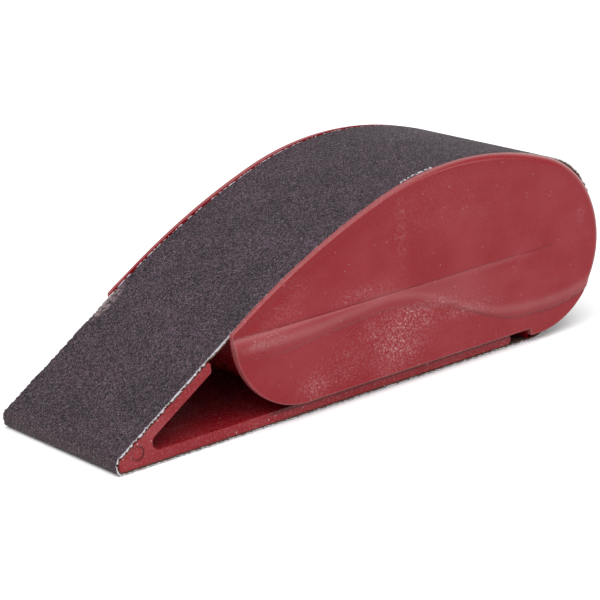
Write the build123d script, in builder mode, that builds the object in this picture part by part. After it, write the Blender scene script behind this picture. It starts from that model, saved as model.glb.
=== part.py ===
from build123d import *
from math import asin, atan2, cos, degrees, hypot, pi, radians, sin, tan
import os

# Belt sanding block: a tall hollow handle and a sliding nose shoe, with a 76 mm (3 inch) sanding belt
# stretched round both. Springs push the shoe forward and keep the belt tight.
# Millimetres. +X from the nose to the heel, +Y across the belt, +Z up, origin under the middle.

os.makedirs("parts", exist_ok=True)

# --- Side outline: the handle's rim, seen from the side, x counted from the nose ----------------------
length = 231.8  # nose of the belt to the rearmost point of the heel
height = 80.1  # belt underside to the top of the rim
crest_radius = 124.0  # rim over the palm
crest_turn_front = 18.4  # degrees of crest arc in front of the highest point
crest_turn_back = 21.4  # degrees of crest arc behind it
heel_radius = 37.0  # rim round the upper heel
heel_bottom_z = 2.9  # lowest point of the heel
ramp_radius = 309.0  # long arc between the crest and the ramp
nose_z = 5.8  # where the ramp and the upright nose would meet, belt outside

# --- Belt ----------------------------------------------------------------------------------------------
belt_width = 76.0
belt_t = 1.0
rim_proud = 0.4  # rim above the belt along the ramp and crest
belt_crest_radius = 135.0  # slack belt lifting off the bed behind the crest
belt_crest_turn = 22.5
belt_heel_inset = 0.5  # belt inside the rearmost point of the rim
belt_low_turn = 45.0  # share of the lower heel that the wider of its two arcs takes
flat_reach = 0.5  # flat underside past the heel stop
belt_low_reach = 37.3  # start of the belt's low arc in front of the rearmost point
nose_low_radius = 2.2  # belt outside, bottom of the nose
nose_top_radius = 3.5  # belt outside, top of the nose
tape_t = 0.2  # tape behind the belt's joint
tape_length = 10.0  # height of the taped band
tape_z = 60.0  # middle of the tape, on the upper heel
tape_skew = 8.0  # sideways lean of the joint, from edge to edge
tape_side_gap = 1.0  # tape in from the belt's edges

# --- Handle --------------------------------------------------------------------------------------------
belt_side_gap = 0.4  # belt edge to cheek
cheek_t = 3.7  # cheek at the bulging band
wall_t = 2.4  # belt bed, floor and mouth wall
bed_gap = 0.1  # belt to bed
plate_gap = 0.6  # underside of the handle over the shoe's plate
cheek_front_x = 52.0
cheek_front_radius = 31.0  # big round of the cheek's front lower corner
mouth_recess = 9.0  # mouth wall behind the cheek's front edge
stop_reach = 9.6  # solid heel behind the stop
heel_slope_run = 1.0  # cheek's step from the heel's bottom up to its underside
rim_round = 0.8
crease_z = 37.4  # straight crease across the cheek
upper_step = 1.8  # upper panel below the band at the front
upper_fade_x = 205.0  # where the upper panel reaches the band's level
lower_step = 0.9  # flat lower panel below the band
ridge_front_z, ridge_hump_z, ridge_heel_z, ridge_end_z = 28.4, 31.0, 12.0, 17.0  # lower edge of the band
ridge_hump_x, ridge_drop_x, ridge_heel_x = 121.0, 157.0, 199.0

# --- Nose shoe -----------------------------------------------------------------------------------------
travel = 8.5  # how far the shoe is pushed back to free the belt
plate_t = 4.0
plate_end_x = 185.4
shoe_gap = 0.1  # shoe to belt
stop_gap = 0.1  # plate end to heel stop, shoe fully back
arm_t = 3.9
arm_end_x = 43.2
notch_radius = 3.0
arm_tip_round = 1.0
plate_end_round = 1.9
pin_mark_x, pin_mark_z, pin_mark_radius, pin_mark_depth = 9.2, 6.3, 2.6, 0.3

# --- Slide keys, screws and springs --------------------------------------------------------------------
key_length = 12.0
front_key_x = 101.0
rear_key_x = 150.0
key_neck = 8.0  # neck width, in the floor slots
key_head = 20.0  # head width, above the floor
key_head_t = 3.2
key_side_gap = 0.15  # neck to slot, each side
key_lift_gap = 0.3  # head to floor
yoke_width = 40.0  # rear key's upright, which the springs push on
yoke_height = 13.0
spring_y = 13.0
spring_z = 15.5
spring_radius = 3.0  # to the middle of the wire
wire_radius = 0.45
spring_turns = 6
end_gap = 0.1  # spring end to what it pushes on
rod_radius = 1.6
rod_gap = 0.08
rod_front_reach = 3.0  # rod ahead of the yoke's front face, shoe forward
block_t = 6.0
block_height = 15.0
block_x = 184.0  # front face of the spring block
block_round = 2.0
rod_chamfer = 0.3
fit_gap = 0.1  # block between its ribs
key_screw_radius = 1.5
key_screw_head_radius = 2.8
key_screw_length = 9.0
key_screw_spacing = 6.0
shell_screw_radius = 1.6
shell_screw_head_radius = 3.2
shell_screw_head_t = 2.4
shell_screw_length = 30.0
shell_screw_tip_gap = 1.0  # screw tip to the end of its bore
socket_radius, socket_depth = 1.6, 1.2  # hexagon in the screw head
screw_gap = 0.05
boss_radius = 4.6
boss_reach = 27.0  # foremost boss behind the cheek's front edge
rim_to_boss = 13.0  # bosses in from the rim and out from the heel's centre
rib_t = 2.0
rib_x = 134.0
low_rib_height = 2.2

cut_over = 1.0  # cuts start this far outside the faces they cut

# --- Derived sizes -------------------------------------------------------------------------------------
shoe_depth = belt_t + shoe_gap
plate_top = shoe_depth + plate_t
floor_z = plate_top + plate_gap
floor_top = floor_z + wall_t
stop_x = plate_end_x + travel + stop_gap
front_turn = radians(crest_turn_front)
back_turn = radians(crest_turn_back)
belt_turn = radians(belt_crest_turn)
crest_x = length - crest_radius * sin(back_turn) - heel_radius * (1 - sin(back_turn))
heel_z = height - crest_radius * (1 - cos(back_turn)) - heel_radius * cos(back_turn)
heel_x = length - heel_radius
heel_low_radius = heel_z - heel_bottom_z

ramp_top_x = crest_x - crest_radius * sin(front_turn)
ramp_top_z = height - crest_radius * (1 - cos(front_turn))
ramp_centre_x = ramp_top_x + ramp_radius * sin(front_turn)
ramp_centre_z = ramp_top_z - ramp_radius * cos(front_turn)
ramp_reach = hypot(ramp_centre_x, ramp_centre_z - nose_z)
ramp_angle = atan2(ramp_centre_z - nose_z, ramp_centre_x) + asin((ramp_radius - rim_proud) / ramp_reach)

cheek_corner_z = nose_z + cheek_front_x * tan(ramp_angle) + rim_proud / cos(ramp_angle)
front_round = min(cheek_front_radius, cheek_corner_z - floor_z - 2 * rim_round)

belt_crest_z = height - rim_proud
belt_back_x = crest_x + belt_crest_radius * sin(belt_turn)
belt_back_z = belt_crest_z - belt_crest_radius * (1 - cos(belt_turn))
belt_heel_radius = (length - belt_heel_inset - belt_back_x) / (1 - sin(belt_turn))
belt_heel_z = belt_back_z - belt_heel_radius * cos(belt_turn)
low_turn = radians(belt_low_turn)
flat_end_x = max(stop_x + flat_reach, length - belt_low_reach)
belt_heel_reach = length - belt_heel_inset - flat_end_x
low_step = (belt_heel_z - belt_heel_reach) / (sin(low_turn) + cos(low_turn) - 1)
belt_low_radius = belt_heel_reach + low_step * cos(low_turn)
belt_toe_radius = belt_low_radius - low_step

bed_y = belt_width / 2 + belt_side_gap
bed_depth = rim_proud + belt_t + bed_gap
slot_length = key_length + travel + 2 * key_lift_gap
head_z = floor_top + key_lift_gap
key_bore_depth = key_screw_length - plate_t + key_lift_gap
spring_front_x = rear_key_x + key_length
block_back_x = block_x + block_t
boss_places = [
    (cheek_front_x + boss_reach, cheek_corner_z + boss_reach * tan(ramp_angle) - rim_to_boss),
    (front_key_x, head_z + key_head_t + 2 * boss_radius),
    (ramp_top_x, ramp_top_z - rim_to_boss),
    (crest_x + boss_radius, height - rim_to_boss),
    (heel_x + rim_to_boss, heel_z + rim_to_boss),
    (heel_x + rim_to_boss, heel_z - rim_to_boss - wall_t),
]

side = Plane(origin=(-length / 2, 0, 0), x_dir=(1, 0, 0), z_dir=(0, -1, 0))


def tangent_arcs(start, heading, turns):
    """Draw clockwise arcs of (radius, turn in radians), each going on from the last."""
    point, direction = start, (cos(heading), sin(heading))
    for radius, turn in turns:
        arc = JernArc(start=point, tangent=direction, radius=radius, arc_size=-degrees(turn))
        point, direction = arc @ 1, arc % 1
    return point


def ramp_point(x, depth):
    """Point of the ramp line at x, depth below the belt's outer face."""
    return x, nose_z + x * tan(ramp_angle) - depth / cos(ramp_angle)


def belt_back(depth):
    """Belt line from the top of the ramp over the crest and heel to the flat underside."""
    inner = ramp_radius - rim_proud - depth
    start = (ramp_centre_x - inner * sin(ramp_angle), ramp_centre_z + inner * cos(ramp_angle))
    turns = [
        (inner, ramp_angle - front_turn),
        (crest_radius - rim_proud - depth, front_turn),
        (belt_crest_radius - depth, belt_turn),
        (belt_heel_radius - depth, pi / 2 - belt_turn),
        (belt_low_radius - depth, low_turn),
        (belt_toe_radius - depth, pi / 2 - low_turn),
    ]
    return start, tangent_arcs(start, ramp_angle, turns)


def belt_face(depth):
    """Everything inside the belt, depth in from its outer face."""
    low_round = nose_low_radius - depth
    top_round = nose_top_radius - depth
    top_turn = pi / 2 - ramp_angle
    low = (depth, nose_low_radius)
    high = (depth, ramp_point(depth, depth)[1] - top_round * tan(top_turn / 2))
    with BuildSketch() as face:
        with BuildLine():
            Line(low, high)
            shoulder = tangent_arcs(high, pi / 2, [(top_round, top_turn)])
            ramp_end, heel = belt_back(depth)
            Line(shoulder, ramp_end)
            Line(heel, (nose_low_radius, depth))
            tangent_arcs((nose_low_radius, depth), pi, [(low_round, pi / 2)])
        make_face()
    return face.sketch


def rim_arcs(depth):
    """Upper rim from the ramp round to the underside of the heel, depth inside the rim."""
    radius = ramp_radius - depth
    start = (ramp_centre_x - radius * sin(ramp_angle), ramp_centre_z + radius * cos(ramp_angle))
    turns = [
        (radius, ramp_angle - front_turn),
        (crest_radius - depth, front_turn + back_turn),
        (heel_radius - depth, pi / 2 - back_turn),
        (heel_low_radius - depth, pi / 2),
    ]
    return start, tangent_arcs(start, ramp_angle, turns)


def cheek_face():
    """Outline of one cheek: rim, heel, underside and the round front corner."""
    corner_x = cheek_front_x + front_round
    with BuildSketch() as face:
        with BuildLine():
            start, end = rim_arcs(0)
            Polyline(end, (stop_x, heel_bottom_z), (stop_x - heel_slope_run, floor_z), (corner_x, floor_z))
            tangent_arcs((corner_x, floor_z), pi, [(front_round, pi / 2)])
            Polyline((cheek_front_x, floor_z + front_round), (cheek_front_x, cheek_corner_z), start)
        make_face()
    return face.sketch


def core_face(inset):
    """Side section of the hollow body between the cheeks, drawn inset inside its outer faces."""
    front_x = cheek_front_x + mouth_recess + inset
    floor = floor_z + inset
    radius = front_round - inset
    with BuildSketch() as face:
        with BuildLine():
            start, end = rim_arcs(bed_depth + inset)
            front_z = start[1] - (start[0] - arm_end_x) * tan(ramp_angle)
            Polyline(end, (arm_end_x, end.Y), (arm_end_x, front_z), start)
        make_face()
        if inset == 0:
            with Locations((stop_x + stop_reach / 2, floor / 2)):
                Rectangle(stop_reach, floor + wall_t)
        with BuildLine():
            start, end = belt_back(belt_t + bed_gap + inset)
            front_z = start[1] - (start[0] - arm_end_x) * tan(ramp_angle)
            Polyline(end, (arm_end_x, end.Y), (arm_end_x, front_z), start)
        make_face(mode=Mode.INTERSECT)
        with BuildLine():
            corner = tangent_arcs((front_x + radius, floor), pi, [(radius, pi / 2)])
            back = stop_x + inset
            Polyline(corner, (front_x, height), (length, height), (length, 0), (back, 0), (back, floor))
            Line((back, floor), (front_x + radius, floor))
        make_face(mode=Mode.INTERSECT)
    return face.sketch


# --- Handle shells ---------------------------------------------------------------------------------------
def shell_blank():
    """Left half of the handle, from the middle plane to the outside of its cheek."""
    with BuildPart() as blank:
        with BuildSketch(side):
            add(core_face(0))
            add(core_face(wall_t), mode=Mode.SUBTRACT)
        extrude(amount=bed_y)

        # Upright ribs and screw bosses, trimmed to the hollow.
        with BuildSketch(side):
            with Locations((rib_x, height / 2), (block_back_x + fit_gap + rib_t / 2, height / 2)):
                Rectangle(rib_t, height)
            with Locations((block_x - fit_gap - rib_t / 2, floor_z + (wall_t + low_rib_height) / 2)):
                Rectangle(rib_t, wall_t + low_rib_height)
            with Locations(*boss_places):
                Circle(boss_radius)
            add(core_face(wall_t / 2), mode=Mode.INTERSECT)
        extrude(amount=bed_y)

        with BuildSketch(side.offset(bed_y)):
            add(cheek_face())
        extrude(amount=cheek_t)
        outside = blank.faces().sort_by(Axis.Y)[0]
        fillet(outside.edges(), rim_round)

        # Upper panel: a wedge off the cheek above the crease, deepest at the front.
        outside_y = -(bed_y + cheek_t)
        x0 = -length / 2
        with BuildSketch(Plane.XY.offset(crease_z)):
            with BuildLine():
                Polyline(
                    (x0 + cheek_front_x - cut_over, outside_y + upper_step),
                    (x0 + upper_fade_x, outside_y),
                    (x0 + upper_fade_x, outside_y - cut_over),
                    (x0 + cheek_front_x - cut_over, outside_y - cut_over),
                    close=True,
                )
            make_face()
        extrude(amount=height, mode=Mode.SUBTRACT)

        # Lower panel: flat, below the waved edge of the band.
        with BuildSketch(side.offset(bed_y + cheek_t - lower_step)):
            with BuildLine():
                ridge = Spline(
                    (cheek_front_x - cut_over, ridge_front_z),
                    (ridge_hump_x, ridge_hump_z),
                    (ridge_drop_x, (ridge_hump_z + ridge_heel_z) / 2),
                    (ridge_heel_x, ridge_heel_z),
                    (length, ridge_end_z),
                )
                Polyline(ridge @ 1, (length, -cut_over), (cheek_front_x - cut_over, -cut_over), ridge @ 0)
            make_face()
        extrude(amount=cheek_t, mode=Mode.SUBTRACT)

        # Half of each slot in the floor for the slide keys.
        with BuildSketch(Plane.XY.offset(floor_z)):
            for key_x in (front_key_x, rear_key_x):
                with Locations((x0 + key_x - key_lift_gap + slot_length / 2, 0)):
                    Rectangle(slot_length, key_neck + 2 * key_side_gap)
        extrude(amount=wall_t, mode=Mode.SUBTRACT)
    return blank.part


blank_half = shell_blank()

with BuildPart() as handle_left_shell:
    add(blank_half)
    with BuildSketch(side):
        with Locations(*boss_places):
            Circle(shell_screw_radius + screw_gap)
    extrude(amount=shell_screw_length / 2, mode=Mode.SUBTRACT)
handle_left_shell.part.label = "handle_left_shell"

# The right cheek is bored deep enough for the screw heads to sit far below its outer face.
head_seat_y = shell_screw_length / 2
with BuildPart() as handle_right_shell:
    add(mirror(blank_half, about=Plane.XZ))
    with BuildSketch(side):
        with Locations(*boss_places):
            Circle(shell_screw_radius + screw_gap)
    extrude(amount=-head_seat_y, mode=Mode.SUBTRACT)
    with BuildSketch(side.offset(-head_seat_y)):
        with Locations(*boss_places):
            Circle(shell_screw_head_radius + screw_gap)
    extrude(amount=-(bed_y + cheek_t), mode=Mode.SUBTRACT)
handle_right_shell.part.label = "handle_right_shell"

with BuildPart() as shell_screws:
    with BuildSketch(side.offset(-head_seat_y)):
        with Locations(*boss_places):
            Circle(shell_screw_radius)
    extrude(amount=shell_screw_length - shell_screw_tip_gap)
    with BuildSketch(side.offset(-head_seat_y)):
        with Locations(*boss_places):
            Circle(shell_screw_head_radius)
    extrude(amount=-shell_screw_head_t)
    with BuildSketch(side.offset(-head_seat_y - shell_screw_head_t)):
        with Locations(*boss_places):
            RegularPolygon(socket_radius, 6)
    extrude(amount=socket_depth, mode=Mode.SUBTRACT)
shell_screws.part.label = "shell_screws"

# --- Belt ----------------------------------------------------------------------------------------------
with BuildPart() as sanding_belt:
    with BuildSketch(side):
        add(belt_face(0))
        add(belt_face(belt_t), mode=Mode.SUBTRACT)
    extrude(amount=belt_width / 2, both=True)
sanding_belt.part.label = "sanding_belt"

with BuildPart() as belt_joint_tape:
    with BuildSketch(side):
        add(belt_face(belt_t))
        add(belt_face(belt_t + tape_t), mode=Mode.SUBTRACT)
    extrude(amount=belt_width / 2 - tape_side_gap, both=True)
    with BuildSketch(Plane.YZ.offset(length / 2)):
        half = belt_width / 2
        with BuildLine():
            Polyline(
                (-half, tape_z - (tape_length + tape_skew) / 2),
                (half, tape_z - (tape_length - tape_skew) / 2),
                (half, tape_z + (tape_length + tape_skew) / 2),
                (-half, tape_z + (tape_length - tape_skew) / 2),
                close=True,
            )
        make_face()
    extrude(amount=-(length - crest_x), mode=Mode.INTERSECT)
belt_joint_tape.part.label = "belt_joint_tape"

# --- Nose shoe -----------------------------------------------------------------------------------------
notch_z = plate_top
arm_under = shoe_depth + arm_t
notch_x = (notch_z - ramp_point(0, arm_under)[1]) / tan(ramp_angle)
nose_inner_top = ramp_point(shoe_depth, shoe_depth)


def key_screw_points(key_x):
    """Centres of a key's two screws at the plate's underside."""
    middle = -length / 2 + key_x + key_length / 2
    return [(middle + step * key_screw_spacing / 2, 0) for step in (-1, 1)]


with BuildPart() as nose_shoe:
    with BuildSketch(side):
        with BuildLine():
            FilletPolyline(
                (shoe_depth, shoe_depth),
                nose_inner_top,
                ramp_point(arm_end_x, shoe_depth),
                ramp_point(arm_end_x, arm_under),
                (notch_x, notch_z),
                (plate_end_x, plate_top),
                (plate_end_x, shoe_depth),
                radius=[
                    nose_low_radius - shoe_depth,
                    nose_top_radius - shoe_depth,
                    arm_tip_round,
                    arm_tip_round,
                    notch_radius,
                    plate_end_round,
                    plate_end_round,
                ],
                close=True,
            )
        make_face()
    extrude(amount=belt_width / 2, both=True)
    for sign in (-1, 1):
        with BuildSketch(side.offset(sign * belt_width / 2)):
            with Locations((pin_mark_x, pin_mark_z)):
                Circle(pin_mark_radius)
        extrude(amount=-sign * pin_mark_depth, mode=Mode.SUBTRACT)
    for key_x in (front_key_x, rear_key_x):
        for x, y in key_screw_points(key_x):
            with Locations(Location((x, y, shoe_depth), (180, 0, 0))):
                CounterSinkHole(key_screw_radius + screw_gap, key_screw_head_radius + screw_gap, plate_t)
nose_shoe.part.label = "nose_shoe"


# --- Slide keys ------------------------------------------------------------------------------------------
def key_blank(key_x):
    """Neck through the floor slot, the T head above it and blind holes for its two screws."""
    middle = -length / 2 + key_x + key_length / 2
    with BuildPart() as blank:
        with BuildSketch(Plane.XY.offset(plate_top)):
            with Locations((middle, 0)):
                Rectangle(key_length, key_neck)
        extrude(amount=head_z - plate_top)
        with BuildSketch(Plane.XY.offset(head_z)):
            with Locations((middle, 0)):
                Rectangle(key_length, key_head)
        extrude(amount=key_head_t)
        with BuildSketch(Plane.XY.offset(plate_top)):
            with Locations(*key_screw_points(key_x)):
                Circle(key_screw_radius + screw_gap)
        extrude(amount=key_bore_depth, mode=Mode.SUBTRACT)
    return blank.part


with BuildPart() as slide_key_front:
    add(key_blank(front_key_x))
slide_key_front.part.label = "slide_key_front"

# The rear key's head grows up into a yoke that the springs push on and the rods pass through.
with BuildPart() as slide_key_rear:
    with BuildSketch(Plane.XY.offset(head_z + key_head_t)):
        with Locations((-length / 2 + rear_key_x + key_length / 2, 0)):
            Rectangle(key_length, yoke_width)
    extrude(amount=yoke_height - key_head_t)
    add(key_blank(rear_key_x))
    with BuildSketch(Plane.YZ.offset(-length / 2 + rear_key_x)):
        with Locations((-spring_y, spring_z), (spring_y, spring_z)):
            Circle(rod_radius + rod_gap)
    extrude(amount=key_length, mode=Mode.SUBTRACT)
slide_key_rear.part.label = "slide_key_rear"

with BuildPart() as key_screws:
    for key_x in (front_key_x, rear_key_x):
        for x, y in key_screw_points(key_x):
            cone_t = key_screw_head_radius - key_screw_radius
            with BuildSketch(Plane.XY.offset(shoe_depth)):
                with Locations((x, y)):
                    Circle(key_screw_radius)
            extrude(amount=key_screw_length)
            with Locations((x, y, shoe_depth)):
                Cone(key_screw_head_radius, key_screw_radius, cone_t, align=(Align.CENTER, Align.CENTER, Align.MIN))
key_screws.part.label = "key_screws"

# --- Spring block, rods and springs ------------------------------------------------------------------------
spring_places = {"left": -spring_y, "right": spring_y}

with BuildPart() as spring_block:
    with BuildSketch(Plane.YZ.offset(-length / 2 + block_x)):
        with Locations((0, floor_top + block_height / 2)):
            RectangleRounded(yoke_width, block_height, block_round)
        with Locations((-spring_y, spring_z), (spring_y, spring_z)):
            Circle(rod_radius + screw_gap / 2, mode=Mode.SUBTRACT)
    extrude(amount=block_t)
spring_block.part.label = "spring_block"

for name, y in spring_places.items():
    rod_x = rear_key_x - rod_front_reach
    with BuildPart() as spring_rod:
        with BuildSketch(Plane.YZ.offset(-length / 2 + rod_x)):
            with Locations((y, spring_z)):
                Circle(rod_radius)
        extrude(amount=block_back_x - rod_x)
        chamfer(spring_rod.edges().filter_by(GeomType.CIRCLE), rod_chamfer)
    spring_rod.part.label = f"spring_rod_{name}"
    export_step(spring_rod.part, f"parts/spring_rod_{name}.step")

    spring_length = block_x - spring_front_x - 2 * (wire_radius + end_gap)
    with BuildPart() as tension_spring:
        with BuildLine():
            coil = Helix(
                spring_length / spring_turns,
                spring_length,
                spring_radius,
                center=(-length / 2 + spring_front_x + wire_radius + end_gap, y, spring_z),
                direction=(1, 0, 0),
            )
        with BuildSketch(Plane(origin=coil @ 0, z_dir=coil % 0)):
            Circle(wire_radius)
        sweep()
    tension_spring.part.label = f"tension_spring_{name}"
    export_step(tension_spring.part, f"parts/tension_spring_{name}.step")

for piece in (
    handle_left_shell,
    handle_right_shell,
    shell_screws,
    sanding_belt,
    belt_joint_tape,
    nose_shoe,
    slide_key_front,
    slide_key_rear,
    key_screws,
    spring_block,
):
    export_step(piece.part, f"parts/{piece.part.label}.step")
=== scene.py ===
from math import asin, atan2, cos, hypot, pi, radians, sin, tan
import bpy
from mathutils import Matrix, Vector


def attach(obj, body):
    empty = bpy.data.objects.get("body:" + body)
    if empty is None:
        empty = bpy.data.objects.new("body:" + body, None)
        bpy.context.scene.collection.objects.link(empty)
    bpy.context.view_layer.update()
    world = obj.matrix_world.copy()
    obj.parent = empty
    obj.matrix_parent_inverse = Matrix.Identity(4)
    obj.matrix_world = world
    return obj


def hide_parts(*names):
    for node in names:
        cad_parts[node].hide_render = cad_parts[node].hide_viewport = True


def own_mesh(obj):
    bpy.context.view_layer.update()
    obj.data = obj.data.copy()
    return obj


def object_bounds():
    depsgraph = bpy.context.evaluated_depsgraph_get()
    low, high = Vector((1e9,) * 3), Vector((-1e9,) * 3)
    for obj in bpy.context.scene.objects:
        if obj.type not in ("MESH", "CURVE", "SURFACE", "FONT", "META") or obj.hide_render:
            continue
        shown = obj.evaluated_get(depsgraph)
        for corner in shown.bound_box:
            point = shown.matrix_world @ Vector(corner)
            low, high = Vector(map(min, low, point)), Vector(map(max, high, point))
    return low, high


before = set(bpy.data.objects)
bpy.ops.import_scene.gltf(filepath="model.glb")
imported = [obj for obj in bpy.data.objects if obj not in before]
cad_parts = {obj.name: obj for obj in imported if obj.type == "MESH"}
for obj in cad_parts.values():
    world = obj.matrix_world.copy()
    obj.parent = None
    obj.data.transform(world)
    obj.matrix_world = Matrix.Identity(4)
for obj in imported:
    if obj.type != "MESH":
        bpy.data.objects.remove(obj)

from types import SimpleNamespace

import bmesh
import bpy
import numpy as np
from bpy.props import FloatProperty, FloatVectorProperty, IntProperty, PointerProperty
from mathutils import Matrix, Vector

bl_info = {
    "name": "Belt Sanding Block",
    "version": (1, 0, 0),
    "blender": (4, 5, 0),
    "location": "3D View > Sidebar > Block",
    "description": "Builds the moulded handle, the sanding belt, the nose shoe and their finishes",
    "category": "Object",
}

CAD_BOX = [[float(c) for c in corner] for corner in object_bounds()]
MM = 0.001
# Metres: points closer than SEAM are one point, edges shorter than SLIVER go, and HAIR is flush.
SEAM, SPRING_SEAM, SLIVER, HAIR = 2e-6, 1e-6, 1e-7, 1e-5


def size(name, default, description):
    """A size with its words, in millimetres unless they name another unit."""
    return FloatProperty(name=name, description=description, default=default)


def colour(name, default, description):
    """A linear colour with its words."""
    return FloatVectorProperty(name=name, description=description, default=default, subtype="COLOR", size=3)


# --- Sizes and colours ---
class BlockOutline(bpy.types.PropertyGroup):
    length: size("Length", (CAD_BOX[1][0] - CAD_BOX[0][0]) / MM, "Nose to heel")
    height: size("Height", CAD_BOX[1][2] / MM, "Belt underside to the top of the rim")
    crest_radius: size("Crest radius", 124.0, "Rim over the palm")
    crest_turn_front: size("Crest turn, front", 18.4, "Degrees of crest arc before the highest point")
    crest_turn_back: size("Crest turn, back", 21.4, "Degrees of crest arc after the highest point")
    heel_radius: size("Heel radius", 37.0, "Rim round the upper heel")
    heel_bottom: size("Heel bottom", 2.9, "Lowest point of the heel")
    ramp_radius: size("Ramp radius", 309.0, "Long arc between crest and ramp")
    nose_height: size("Nose height", 5.8, "Where ramp and upright nose would meet")
    floor_height: size("Floor height", 5.7, "Underside of the cheeks")
    stop_x: size("Stop", 194.0, "Heel stop, from the nose")
    front_x: size("Cheek front", 52.0, "Front edge of the cheeks, from the nose")
    front_round: size("Cheek front round", 31.0, "Big round of the front lower corner")
    front_corner: size("Cheek front corner", 1.2, "Small round where the rim meets the front edge")


class CheekRelief(bpy.types.PropertyGroup):
    inside: size("Inside", 38.4, "Middle plane to the inside of a cheek")
    band: size("Band", 42.1, "Middle plane to the outermost band")
    lower: size("Lower panel", 41.15, "Middle plane to the flat lower panel")
    upper_front: size("Upper panel, front", 40.3, "Middle plane to the front of the upper panel")
    crease: size("Crease", 37.4, "Height of the straight crease")
    fade_x: size("Fade", 204.0, "Where the upper panel reaches the band")
    ledge: size("Ledge", 0.38, "Step over the crease halfway along")
    soft_rim: size("Soft rim", 3.1, "Rounding of the rim over the heel")
    firm_rim: size("Firm rim", 1.0, "Rounding of the rim along the ramp")
    crisp_rim: size("Crisp rim", 0.35, "Rounding below the band")
    dish: size("Dish", 0.25, "Hollow inside the rim at the front")
    columns: IntProperty(name="Columns", description="Grid columns along half an outline", default=420)
    rows: IntProperty(name="Rows", description="Even grid rows between rim and crease", default=66)


class BeltSizes(bpy.types.PropertyGroup):
    width: size("Width", 76.0, "Edge to edge")
    thickness: size("Thickness", 1.0, "Cloth and grit together")
    rim_proud: size("Rim over belt", 0.4, "Rim above the belt on the crest")
    crest_radius: size("Belt crest radius", 135.0, "Slack belt behind the crest")
    crest_turn: size("Belt crest turn", 22.5, "Degrees of that arc")
    heel_inset: size("Heel inset", 0.5, "Belt inside the rearmost rim")
    low_turn: size("Low turn", 45.0, "Degrees of the wider lower heel arc")
    flat_reach: size("Flat reach", 0.5, "Flat underside past the stop")
    nose_low: size("Nose low round", 2.2, "Belt outside, bottom of the nose")
    nose_top: size("Nose top round", 3.5, "Belt outside, top of the nose")
    fray: size("Fray", 0.5, "How far the cut edge wanders")
    thread_length: size("Thread length", 0.75, "Longest loose thread")
    threads: IntProperty(name="Threads", description="Loose threads along each edge", default=1500)


class Finishes(bpy.types.PropertyGroup):
    red: colour("Red", (0.182, 0.0035, 0.0085), "Moulded plastic")
    # Deep red is also the plastic's darker tone. Darker shares of it paint shade in the crease, under the
    # band, on the front panel, round the pin mark and under the cheek's overhang.
    deep_red: colour("Deep red", (0.165, 0.0016, 0.0055), "Plastic where it is clean and glossy")
    # The dust colour also paints the highlights on the band and on the rims.
    dust_and_highlight: colour("Dust", (0.62, 0.45, 0.44), "Sanding dust on the plastic")
    grit: colour("Grit", (0.0235, 0.0125, 0.019), "Abrasive coat")
    grit_dark: colour("Grit, dark", (0.010, 0.007, 0.010), "Between the grains")
    grit_pale: colour("Grit, glint", (0.42, 0.38, 0.40), "Bare facets of the grains")
    cloth: colour("Cloth", (0.44, 0.41, 0.44), "Cut edge of the belt's cloth")
    backing: colour("Backing", (0.085, 0.045, 0.028), "Inside of the belt")
    steel: colour("Steel", (0.60, 0.60, 0.58), "Zinc-plated screws and rods")


class StageSizes(bpy.types.PropertyGroup):
    azimuth: size("Azimuth", -36.6, "Camera direction, degrees")
    elevation: size("Elevation", 17.25, "Camera height, degrees")
    roll: size("Roll", -4.31, "Camera roll, degrees")
    place: FloatVectorProperty(name="Place", default=(-0.5465, -0.7319, 0.3123), description="Camera, metres")
    lens: size("Lens", 149.7, "Focal length")
    sky: size("Sky", 0.72, "World light, as a strength")
    key: size("Key", 3.0, "Overhead light, W per square metre")
    side: size("Side", 3.0, "Left softbox, watts")
    right: size("Right", 5.0, "Right softbox, watts")


# --- Side outline ---
STOP_RUN = 0.6  # how far the sloped heel stop runs along the block, mm


def outline_facts(o, b):
    """Centres and angles that follow from the outline's sizes, x in mm from the nose."""
    front, back, slack = radians(o.crest_turn_front), radians(o.crest_turn_back), radians(b.crest_turn)
    low = radians(b.low_turn)
    crest_x = o.length - o.crest_radius * sin(back) - o.heel_radius * (1 - sin(back))
    heel_z = o.height - o.crest_radius * (1 - cos(back)) - o.heel_radius * cos(back)
    top_x = crest_x - o.crest_radius * sin(front)
    top_z = o.height - o.crest_radius * (1 - cos(front))
    ramp_x, ramp_z = top_x + o.ramp_radius * sin(front), top_z - o.ramp_radius * cos(front)
    rise = ramp_z - o.nose_height
    angle = atan2(rise, ramp_x) + asin((o.ramp_radius - b.rim_proud) / hypot(ramp_x, rise))
    back_x = crest_x + b.crest_radius * sin(slack)
    back_z = o.height - b.rim_proud - b.crest_radius * (1 - cos(slack))
    heel_radius = (o.length - b.heel_inset - back_x) / (1 - sin(slack))
    drop = back_z - heel_radius * cos(slack)
    reach = o.length - b.heel_inset - o.stop_x - b.flat_reach
    step = (drop - reach) / (sin(low) + cos(low) - 1)
    low_radius = reach + step * cos(low)
    return SimpleNamespace(
        front=front, back=back, slack=slack, low=low, heel_z=heel_z, ramp_x=ramp_x, ramp_z=ramp_z,
        angle=angle, heel_radius=heel_radius, low_radius=low_radius, toe_radius=low_radius - step,
    )


def arcs(start, heading, turns, step):
    """Arcs in a row, all turning right. Each centre lies one radius to the right of the heading, and a point
    is the centre plus the radius times (-sin a, cos a), while the heading a falls by the turn."""
    rows, (x, z) = [], start
    for radius, turn in turns:
        count = max(3, int(radius * turn / step))
        a = heading - turn * np.linspace(0, 1, count, endpoint=False)
        cx, cz = x + radius * sin(heading), z - radius * cos(heading)
        rows.append(np.column_stack([cx - radius * np.sin(a), cz + radius * np.cos(a)]))
        heading -= turn
        x, z = cx - radius * sin(heading), cz + radius * cos(heading)
    return np.vstack(rows), (x, z)


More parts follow.
